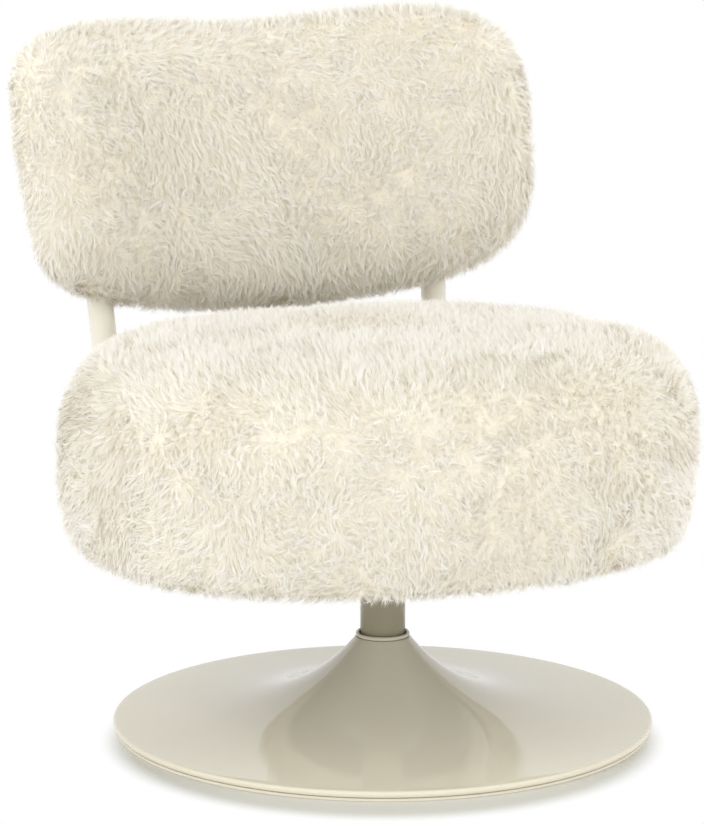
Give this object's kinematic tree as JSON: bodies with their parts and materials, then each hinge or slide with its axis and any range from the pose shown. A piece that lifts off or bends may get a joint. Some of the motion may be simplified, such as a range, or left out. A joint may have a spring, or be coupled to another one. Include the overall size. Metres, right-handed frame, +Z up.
{
  "type": "swivel lounge chair",
  "caption": "Armless swivel chair: sheepskin seat and curved sheepskin back on round posts, painted column and trumpet base.",
  "frame": {"origin": "on the floor under the swivel axis, at the middle of the base's flat underside", "axes": "+Z up along the swivel axis, -Y the way that the sitter faces, +X to the sitter's left"},
  "size_m": [0.718, 0.7202, 0.7698],
  "materials": {
    "greige_paint": "smooth satin gloss powder coat, greige",
    "cream_paint": "satin powder coat, cream",
    "plain_steel": "zinc plated",
    "bearing_steel": "ground and polished",
    "nylon": "natural moulded nylon",
    "pale_plastic": "moulded polypropylene, greige",
    "plywood": "raw birch plywood",
    "foam": "open-cell foam",
    "black_cloth": "non-woven cloth",
    "sheepskin": "long-wool sheepskin, cream"
  },
  "bodies": {
    "base": {"base_shell": "greige_paint", "neck_ring": "greige_paint", "base_plate": "plain_steel", "floor_disc": "pale_plastic", "stem_post": "plain_steel", "flange_screw_1": "plain_steel", "flange_screw_2": "plain_steel", "flange_screw_3": "plain_steel", "flange_screw_4": "plain_steel", "lower_race": "bearing_steel", "retaining_washer": "plain_steel", "retaining_bolt": "plain_steel"},
    "ball_cage": {"ball_cage": "bearing_steel"},
    "seat": {"upper_race": "bearing_steel", "column_tube": "greige_paint", "lower_bush": "nylon", "upper_bush": "nylon", "swivel_hub": "plain_steel", "back_post_right": "cream_paint", "back_post_left": "cream_paint", "seat_plate": "plain_steel", "seat_board": "plywood", "dust_cover": "black_cloth", "plate_bolt_1": "plain_steel", "plate_bolt_2": "plain_steel", "plate_bolt_3": "plain_steel", "plate_bolt_4": "plain_steel", "foot_bolt_1": "plain_steel", "foot_bolt_2": "plain_steel", "foot_bolt_3": "plain_steel", "foot_bolt_4": "plain_steel", "post_foot_right": "plain_steel", "post_foot_left": "plain_steel", "seat_foam": "foam", "seat_cover": "sheepskin", "back_board": "plywood", "post_bracket_right": "plain_steel", "post_bracket_left": "plain_steel", "bracket_screw_1": "plain_steel", "bracket_screw_2": "plain_steel", "bracket_screw_3": "plain_steel", "bracket_screw_4": "plain_steel", "back_foam_front": "foam", "back_foam_rear": "foam", "back_cover": "sheepskin"}
  },
  "joints": [
    {"name": "seat_swivel", "type": "hinge", "parent": "base", "child": "seat", "pos_m": [0, 0, 0.15], "axis": [0, 0, 1], "continuous": true},
    {"name": "cage_spin", "type": "hinge", "parent": "base", "child": "ball_cage", "pos_m": [0, 0, 0.184], "axis": [0, 0, 1], "continuous": true}
  ],
  "couplings": [
    {"joint": "cage_spin", "follows": "seat_swivel", "ratio": 0.5}
  ]
}
